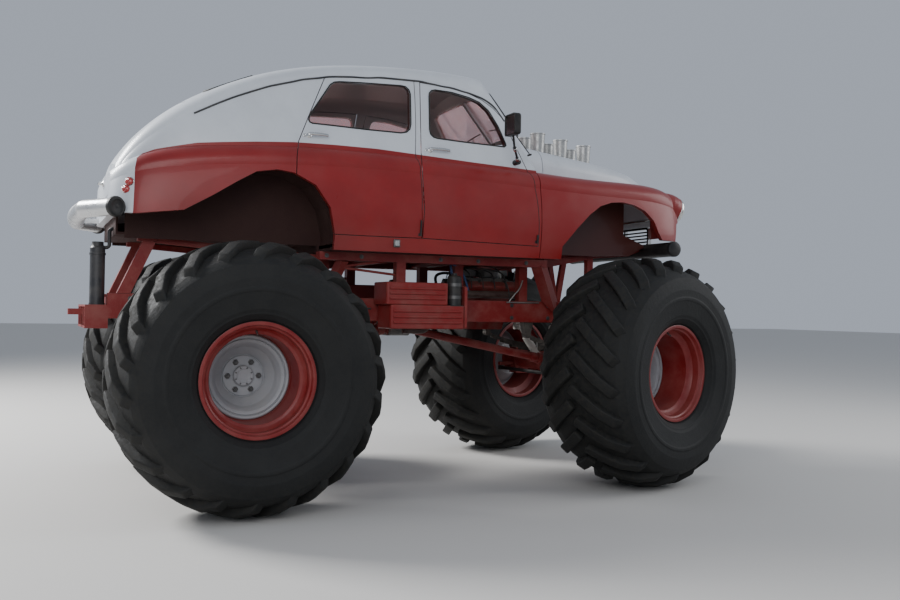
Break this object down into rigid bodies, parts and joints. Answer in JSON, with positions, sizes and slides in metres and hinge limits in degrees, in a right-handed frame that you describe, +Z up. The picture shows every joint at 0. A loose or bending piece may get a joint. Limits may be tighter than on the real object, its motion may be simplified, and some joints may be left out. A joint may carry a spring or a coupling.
{
  "type": "monster truck",
  "caption": "Monster truck with a 1950s-type fastback saloon body high on a ladder frame, huge tyres, steered front wheels, opening doors, bonnet and boot lid.",
  "frame": {"origin": "on the ground, under the middle of the overall length and width", "axes": "+X forward, +Y to the vehicle's left, +Z up"},
  "size_m": [4.7726, 3.1848, 3.0612],
  "materials": {
    "frame_red": "semi-gloss red paint",
    "body_paint": "gloss red below, white above",
    "white_paint": "gloss white paint",
    "engine_red": "red enamel",
    "black_paint": "satin black paint",
    "grey_paint": "satin dark grey paint",
    "chrome": "polished",
    "tyre": "worn rubber",
    "rim_paint": "gloss red barrel, white centre",
    "glass": "tinted",
    "lamp": "clear lens",
    "tail_red": "red lens",
    "vinyl": "red vinyl",
    "wheel_plastic": "black"
  },
  "bodies": {
    "chassis": {"chassis_frame": "frame_red", "body_supports": "frame_red", "rear_cylinder": "grey_paint", "engine": "engine_red", "side_boxes": "frame_red", "leaf_springs": "black_paint", "front_axle": "frame_red", "rear_axle": "frame_red", "propshafts": "frame_red", "shock_absorbers": "white_paint", "body_shell": "body_paint", "floor_pan": "black_paint", "seats": "vinyl", "steering_wheel": "wheel_plastic", "front_wings": "body_paint", "grille_panel": "chrome", "window_glass": "glass", "headlamps": "lamp", "tail_lamps": "tail_red", "front_bumper": "chrome", "rear_bumper": "chrome"},
    "bonnet": {"bonnet": "white_paint", "intake_stacks": "chrome"},
    "boot_lid": {"boot_lid": "white_paint"},
    "door_front_right": {"door_front_right": "body_paint", "mirror_right": "black_paint"},
    "door_front_left": {"door_front_left": "body_paint", "door_glass_front_left": "glass", "mirror_left": "black_paint"},
    "door_rear_right": {"door_rear_right": "body_paint"},
    "door_rear_left": {"door_rear_left": "body_paint", "door_glass_rear_left": "glass"},
    "knuckle_right": {"knuckle_right": "frame_red"},
    "knuckle_left": {"knuckle_left": "frame_red"},
    "tie_rod": {"tie_rod": "black_paint"},
    "wheel_front_right": {"tyre_front_right": "tyre", "rim_front_right": "rim_paint"},
    "wheel_front_left": {"tyre_front_left": "tyre", "rim_front_left": "rim_paint"},
    "wheel_rear_right": {"tyre_rear_right": "tyre", "rim_rear_right": "rim_paint"},
    "wheel_rear_left": {"tyre_rear_left": "tyre", "rim_rear_left": "rim_paint"}
  },
  "joints": [
    {"name": "steer_right", "type": "hinge", "parent": "chassis", "child": "knuckle_right", "pos_m": [1.459, -0.78, 0.838], "axis": [0, 0, 1], "range_deg": [-43, 7]},
    {"name": "steer_left", "type": "hinge", "parent": "chassis", "child": "knuckle_left", "pos_m": [1.459, 0.78, 0.838], "axis": [0, 0, 1], "range_deg": [-43, 7]},
    {"name": "tie_rod_swing", "type": "hinge", "parent": "knuckle_right", "child": "tie_rod", "pos_m": [1.26879, -0.8418, 0.798], "axis": [0, 0, 1], "range_deg": [-7, 43]},
    {"name": "spin_front_right", "type": "hinge", "parent": "knuckle_right", "child": "wheel_front_right", "pos_m": [1.53934, -1.02727, 0.838], "axis": [-0.309, 0.9511, 0], "continuous": true},
    {"name": "spin_front_left", "type": "hinge", "parent": "knuckle_left", "child": "wheel_front_left", "pos_m": [1.37866, 1.02727, 0.838], "axis": [-0.309, 0.9511, 0], "continuous": true},
    {"name": "spin_rear_right", "type": "hinge", "parent": "chassis", "child": "wheel_rear_right", "pos_m": [-1.386, -1.04, 0.838], "axis": [0, 1, 0], "continuous": true},
    {"name": "spin_rear_left", "type": "hinge", "parent": "chassis", "child": "wheel_rear_left", "pos_m": [-1.386, 1.04, 0.838], "axis": [0, 1, 0], "continuous": true},
    {"name": "bonnet_hinge", "type": "hinge", "parent": "chassis", "child": "bonnet", "pos_m": [0.918, 0, 2.566], "axis": [0, -1, 0], "range_deg": [0, 40]},
    {"name": "boot_lid_hinge", "type": "hinge", "parent": "chassis", "child": "boot_lid", "pos_m": [-1.709, 0, 2.674], "axis": [0, 1, 0], "range_deg": [0, 60]},
    {"name": "door_front_right_hinge", "type": "hinge", "parent": "chassis", "child": "door_front_right", "pos_m": [0.764, -0.852, 1.95], "axis": [0, 0, 1], "range_deg": [0, 65]},
    {"name": "door_rear_right_hinge", "type": "hinge", "parent": "chassis", "child": "door_rear_right", "pos_m": [-0.164, -0.866, 1.95], "axis": [0, 0, 1], "range_deg": [0, 65]},
    {"name": "door_front_left_hinge", "type": "hinge", "parent": "chassis", "child": "door_front_left", "pos_m": [0.764, 0.852, 1.95], "axis": [0, 0, -1], "range_deg": [0, 65]},
    {"name": "door_rear_left_hinge", "type": "hinge", "parent": "chassis", "child": "door_rear_left", "pos_m": [-0.164, 0.866, 1.95], "axis": [0, 0, -1], "range_deg": [0, 65]}
  ],
  "couplings": [
    {"joint": "steer_left", "follows": "steer_right", "ratio": 1},
    {"joint": "tie_rod_swing", "follows": "steer_right", "ratio": -1}
  ]
}
